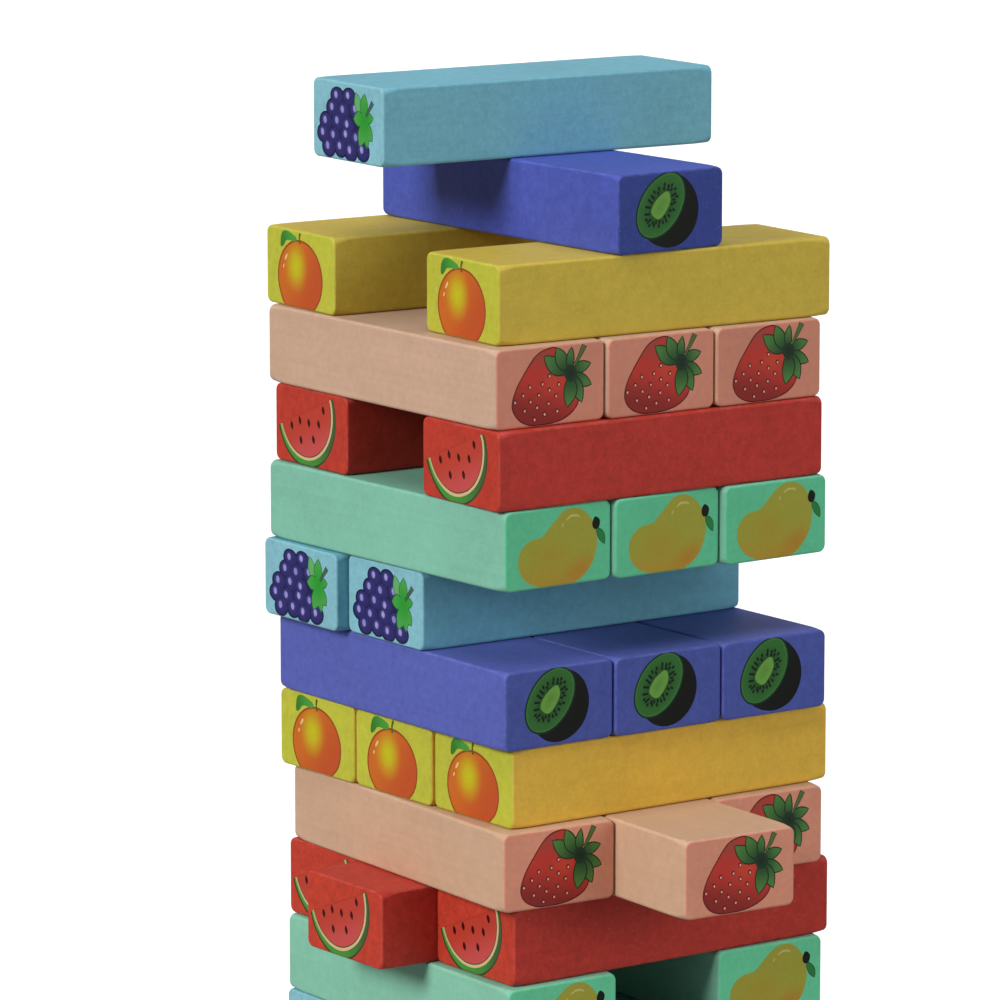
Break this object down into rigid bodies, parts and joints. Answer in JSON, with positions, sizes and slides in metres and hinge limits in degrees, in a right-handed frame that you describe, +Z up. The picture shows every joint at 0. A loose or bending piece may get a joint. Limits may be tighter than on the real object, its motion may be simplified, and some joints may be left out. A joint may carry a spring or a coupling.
{
  "type": "giant tumbling tower",
  "caption": "Giant tumbling tower of painted wooden blocks laid crosswise, level on level, shown in mid-game with gaps and blocks half drawn out.",
  "frame": {"origin": "middle of the tower's foot, on the surface it stands on", "axes": "+Z up through the levels; blocks of even levels lie along X, blocks of odd levels along Y"},
  "size_m": [0.1764, 0.2111, 0.54],
  "materials": {
    "green_paint": "satin green paint on solid wood, a printed fruit on each end",
    "red_paint": "satin red paint on solid wood, a printed fruit on each end",
    "pink_paint": "satin pink paint on solid wood, a printed fruit on each end",
    "yellow_paint": "satin yellow paint on solid wood, a printed fruit on each end",
    "blue_paint": "satin blue paint on solid wood, a printed fruit on each end",
    "light_blue_paint": "satin light blue paint on solid wood, a printed fruit on each end"
  },
  "bodies": {
    "level_01_green_left": {"level_01_green_left": "green_paint"},
    "level_01_green_middle": {"level_01_green_middle": "green_paint"},
    "level_01_green_right": {"level_01_green_right": "green_paint"},
    "level_02_red_front": {"level_02_red_front": "red_paint"},
    "level_02_red_middle": {"level_02_red_middle": "red_paint"},
    "level_02_red_back": {"level_02_red_back": "red_paint"},
    "level_03_pink_left": {"level_03_pink_left": "pink_paint"},
    "level_03_pink_middle": {"level_03_pink_middle": "pink_paint"},
    "level_03_pink_right": {"level_03_pink_right": "pink_paint"},
    "level_04_yellow_front": {"level_04_yellow_front": "yellow_paint"},
    "level_04_yellow_middle": {"level_04_yellow_middle": "yellow_paint"},
    "level_04_yellow_back": {"level_04_yellow_back": "yellow_paint"},
    "level_05_blue_left": {"level_05_blue_left": "blue_paint"},
    "level_05_blue_middle": {"level_05_blue_middle": "blue_paint"},
    "level_05_blue_right": {"level_05_blue_right": "blue_paint"},
    "level_06_light_blue_front": {"level_06_light_blue_front": "light_blue_paint"},
    "level_06_light_blue_middle": {"level_06_light_blue_middle": "light_blue_paint"},
    "level_06_light_blue_back": {"level_06_light_blue_back": "light_blue_paint"},
    "level_07_green_left": {"level_07_green_left": "green_paint"},
    "level_07_green_right": {"level_07_green_right": "green_paint"},
    "level_08_red_front": {"level_08_red_front": "red_paint"},
    "level_08_red_middle": {"level_08_red_middle": "red_paint"},
    "level_08_red_back": {"level_08_red_back": "red_paint"},
    "level_09_pink_left": {"level_09_pink_left": "pink_paint"},
    "level_09_pink_middle": {"level_09_pink_middle": "pink_paint"},
    "level_09_pink_right": {"level_09_pink_right": "pink_paint"},
    "level_10_yellow_front": {"level_10_yellow_front": "yellow_paint"},
    "level_10_yellow_middle": {"level_10_yellow_middle": "yellow_paint"},
    "level_10_yellow_back": {"level_10_yellow_back": "yellow_paint"},
    "level_11_blue_left": {"level_11_blue_left": "blue_paint"},
    "level_11_blue_middle": {"level_11_blue_middle": "blue_paint"},
    "level_11_blue_right": {"level_11_blue_right": "blue_paint"},
    "level_12_light_blue_middle": {"level_12_light_blue_middle": "light_blue_paint"},
    "level_12_light_blue_back": {"level_12_light_blue_back": "light_blue_paint"},
    "level_13_green_left": {"level_13_green_left": "green_paint"},
    "level_13_green_middle": {"level_13_green_middle": "green_paint"},
    "level_13_green_right": {"level_13_green_right": "green_paint"},
    "level_14_red_front": {"level_14_red_front": "red_paint"},
    "level_14_red_back": {"level_14_red_back": "red_paint"},
    "level_15_pink_left": {"level_15_pink_left": "pink_paint"},
    "level_15_pink_middle": {"level_15_pink_middle": "pink_paint"},
    "level_15_pink_right": {"level_15_pink_right": "pink_paint"},
    "level_16_yellow_front": {"level_16_yellow_front": "yellow_paint"},
    "level_16_yellow_back": {"level_16_yellow_back": "yellow_paint"},
    "level_17_blue_middle": {"level_17_blue_middle": "blue_paint"},
    "level_18_light_blue_middle": {"level_18_light_blue_middle": "light_blue_paint"}
  },
  "joints": [
    {"name": "level_01_green_left_slide", "type": "slide", "parent": "level_01_green_middle", "child": "level_01_green_left", "axis": [-0.0087, 1, 0], "range_m": [-0.15, 0.15]},
    {"name": "level_01_green_right_slide", "type": "slide", "parent": "level_01_green_middle", "child": "level_01_green_right", "axis": [-0.0087, 1, 0], "range_m": [-0.149, 0.151]},
    {"name": "level_02_red_front_slide", "type": "slide", "parent": "level_01_green_middle", "child": "level_02_red_front", "axis": [0.9999, -0.0131, 0], "range_m": [-0.151, 0.149]},
    {"name": "level_02_red_middle_slide", "type": "slide", "parent": "level_01_green_middle", "child": "level_02_red_middle", "axis": [0.9999, -0.0131, 0], "range_m": [-0.1495, 0.1505]},
    {"name": "level_02_red_back_slide", "type": "slide", "parent": "level_01_green_middle", "child": "level_02_red_back", "axis": [0.9999, -0.0131, 0], "range_m": [-0.152, 0.148]},
    {"name": "level_03_pink_left_slide", "type": "slide", "parent": "level_01_green_middle", "child": "level_03_pink_left", "axis": [-0.0175, 0.9998, 0], "range_m": [-0.1485, 0.1515]},
    {"name": "level_03_pink_middle_slide", "type": "slide", "parent": "level_01_green_middle", "child": "level_03_pink_middle", "axis": [-0.0175, 0.9998, 0], "range_m": [-0.1505, 0.1495]},
    {"name": "level_03_pink_right_slide", "type": "slide", "parent": "level_01_green_middle", "child": "level_03_pink_right", "axis": [-0.0175, 0.9998, 0], "range_m": [-0.151, 0.149]},
    {"name": "level_04_yellow_front_slide", "type": "slide", "parent": "level_01_green_middle", "child": "level_04_yellow_front", "axis": [1, -0.0044, 0], "range_m": [-0.152, 0.148]},
    {"name": "level_04_yellow_middle_slide", "type": "slide", "parent": "level_01_green_middle", "child": "level_04_yellow_middle", "axis": [1, -0.0044, 0], "range_m": [-0.151, 0.149]},
    {"name": "level_04_yellow_back_slide", "type": "slide", "parent": "level_01_green_middle", "child": "level_04_yellow_back", "axis": [1, -0.0044, 0], "range_m": [-0.148, 0.152]},
    {"name": "level_05_blue_left_slide", "type": "slide", "parent": "level_01_green_middle", "child": "level_05_blue_left", "axis": [-0.0131, 0.9999, 0], "range_m": [-0.151, 0.149]},
    {"name": "level_05_blue_middle_slide", "type": "slide", "parent": "level_01_green_middle", "child": "level_05_blue_middle", "axis": [-0.0131, 0.9999, 0], "range_m": [-0.149, 0.151]},
    {"name": "level_05_blue_right_slide", "type": "slide", "parent": "level_01_green_middle", "child": "level_05_blue_right", "axis": [-0.0131, 0.9999, 0], "range_m": [-0.1505, 0.1495]},
    {"name": "level_06_light_blue_front_slide", "type": "slide", "parent": "level_01_green_middle", "child": "level_06_light_blue_front", "axis": [1, -0.0087, 0], "range_m": [-0.15, 0.15]},
    {"name": "level_06_light_blue_middle_slide", "type": "slide", "parent": "level_01_green_middle", "child": "level_06_light_blue_middle", "axis": [1, -0.0087, 0], "range_m": [-0.152, 0.148]},
    {"name": "level_06_light_blue_back_slide", "type": "slide", "parent": "level_01_green_middle", "child": "level_06_light_blue_back", "axis": [1, -0.0087, 0], "range_m": [-0.1515, 0.1485]},
    {"name": "level_07_green_left_slide", "type": "slide", "parent": "level_01_green_middle", "child": "level_07_green_left", "axis": [0.0087, 1, 0], "range_m": [-0.1475, 0.1525]},
    {"name": "level_07_green_right_slide", "type": "slide", "parent": "level_01_green_middle", "child": "level_07_green_right", "axis": [0.0087, 1, 0], "range_m": [-0.151, 0.149]},
    {"name": "level_08_red_front_slide", "type": "slide", "parent": "level_01_green_middle", "child": "level_08_red_front", "axis": [0.9999, 0.0131, 0], "range_m": [-0.154, 0.146]},
    {"name": "level_08_red_middle_slide", "type": "slide", "parent": "level_01_green_middle", "child": "level_08_red_middle", "axis": [0.9999, 0.0131, 0], "range_m": [-0.129, 0.171]},
    {"name": "level_08_red_back_slide", "type": "slide", "parent": "level_01_green_middle", "child": "level_08_red_back", "axis": [0.9999, 0.0131, 0], "range_m": [-0.155, 0.145]},
    {"name": "level_09_pink_left_slide", "type": "slide", "parent": "level_01_green_middle", "child": "level_09_pink_left", "axis": [0.0436, 0.999, 0], "range_m": [-0.1435, 0.1565]},
    {"name": "level_09_pink_middle_slide", "type": "slide", "parent": "level_01_green_middle", "child": "level_09_pink_middle", "axis": [0.0436, 0.999, 0], "range_m": [-0.098, 0.202]},
    {"name": "level_09_pink_right_slide", "type": "slide", "parent": "level_01_green_middle", "child": "level_09_pink_right", "axis": [0.0436, 0.999, 0], "range_m": [-0.15, 0.15]},
    {"name": "level_10_yellow_front_slide", "type": "slide", "parent": "level_01_green_middle", "child": "level_10_yellow_front", "axis": [0.9998, 0.0175, 0], "range_m": [-0.153, 0.147]},
    {"name": "level_10_yellow_middle_slide", "type": "slide", "parent": "level_01_green_middle", "child": "level_10_yellow_middle", "axis": [0.9998, 0.0175, 0], "range_m": [-0.152, 0.148]},
    {"name": "level_10_yellow_back_slide", "type": "slide", "parent": "level_01_green_middle", "child": "level_10_yellow_back", "axis": [0.9998, 0.0175, 0], "range_m": [-0.1515, 0.1485]},
    {"name": "level_11_blue_left_slide", "type": "slide", "parent": "level_01_green_middle", "child": "level_11_blue_left", "axis": [-0.0044, 1, 0], "range_m": [-0.15, 0.15]},
    {"name": "level_11_blue_middle_slide", "type": "slide", "parent": "level_01_green_middle", "child": "level_11_blue_middle", "axis": [-0.0044, 1, 0], "range_m": [-0.149, 0.151]},
    {"name": "level_11_blue_right_slide", "type": "slide", "parent": "level_01_green_middle", "child": "level_11_blue_right", "axis": [-0.0044, 1, 0], "range_m": [-0.1485, 0.1515]},
    {"name": "level_12_light_blue_middle_slide", "type": "slide", "parent": "level_01_green_middle", "child": "level_12_light_blue_middle", "axis": [1, 0.0044, 0], "range_m": [-0.1485, 0.1515]},
    {"name": "level_12_light_blue_back_slide", "type": "slide", "parent": "level_01_green_middle", "child": "level_12_light_blue_back", "axis": [1, 0.0044, 0], "range_m": [-0.1435, 0.1565]},
    {"name": "level_13_green_left_slide", "type": "slide", "parent": "level_01_green_middle", "child": "level_13_green_left", "axis": [-0.0305, 0.9995, 0], "range_m": [-0.1515, 0.1485]},
    {"name": "level_13_green_middle_slide", "type": "slide", "parent": "level_01_green_middle", "child": "level_13_green_middle", "axis": [-0.0305, 0.9995, 0], "range_m": [-0.1495, 0.1505]},
    {"name": "level_13_green_right_slide", "type": "slide", "parent": "level_01_green_middle", "child": "level_13_green_right", "axis": [-0.0305, 0.9995, 0], "range_m": [-0.1465, 0.1535]},
    {"name": "level_14_red_front_slide", "type": "slide", "parent": "level_01_green_middle", "child": "level_14_red_front", "axis": [1, -0.0044, 0], "range_m": [-0.1475, 0.1525]},
    {"name": "level_14_red_back_slide", "type": "slide", "parent": "level_01_green_middle", "child": "level_14_red_back", "axis": [1, -0.0044, 0], "range_m": [-0.1475, 0.1525]},
    {"name": "level_15_pink_left_slide", "type": "slide", "parent": "level_01_green_middle", "child": "level_15_pink_left", "axis": [-0.0044, 1, 0], "range_m": [-0.1525, 0.1475]},
    {"name": "level_15_pink_middle_slide", "type": "slide", "parent": "level_01_green_middle", "child": "level_15_pink_middle", "axis": [-0.0044, 1, 0], "range_m": [-0.151, 0.149]},
    {"name": "level_15_pink_right_slide", "type": "slide", "parent": "level_01_green_middle", "child": "level_15_pink_right", "axis": [-0.0044, 1, 0], "range_m": [-0.15, 0.15]},
    {"name": "level_16_yellow_front_slide", "type": "slide", "parent": "level_01_green_middle", "child": "level_16_yellow_front", "axis": [0.9992, -0.0393, 0], "range_m": [-0.156, 0.144]},
    {"name": "level_16_yellow_back_slide", "type": "slide", "parent": "level_01_green_middle", "child": "level_16_yellow_back", "axis": [0.9992, -0.0393, 0], "range_m": [-0.147, 0.153]},
    {"name": "level_17_blue_middle_lift", "type": "slide", "parent": "level_01_green_middle", "child": "level_17_blue_middle", "axis": [0, 0, 1], "range_m": [0, 0.15]},
    {"name": "level_18_light_blue_middle_lift", "type": "slide", "parent": "level_17_blue_middle", "child": "level_18_light_blue_middle", "axis": [0, 0, 1], "range_m": [0, 0.15]}
  ]
}
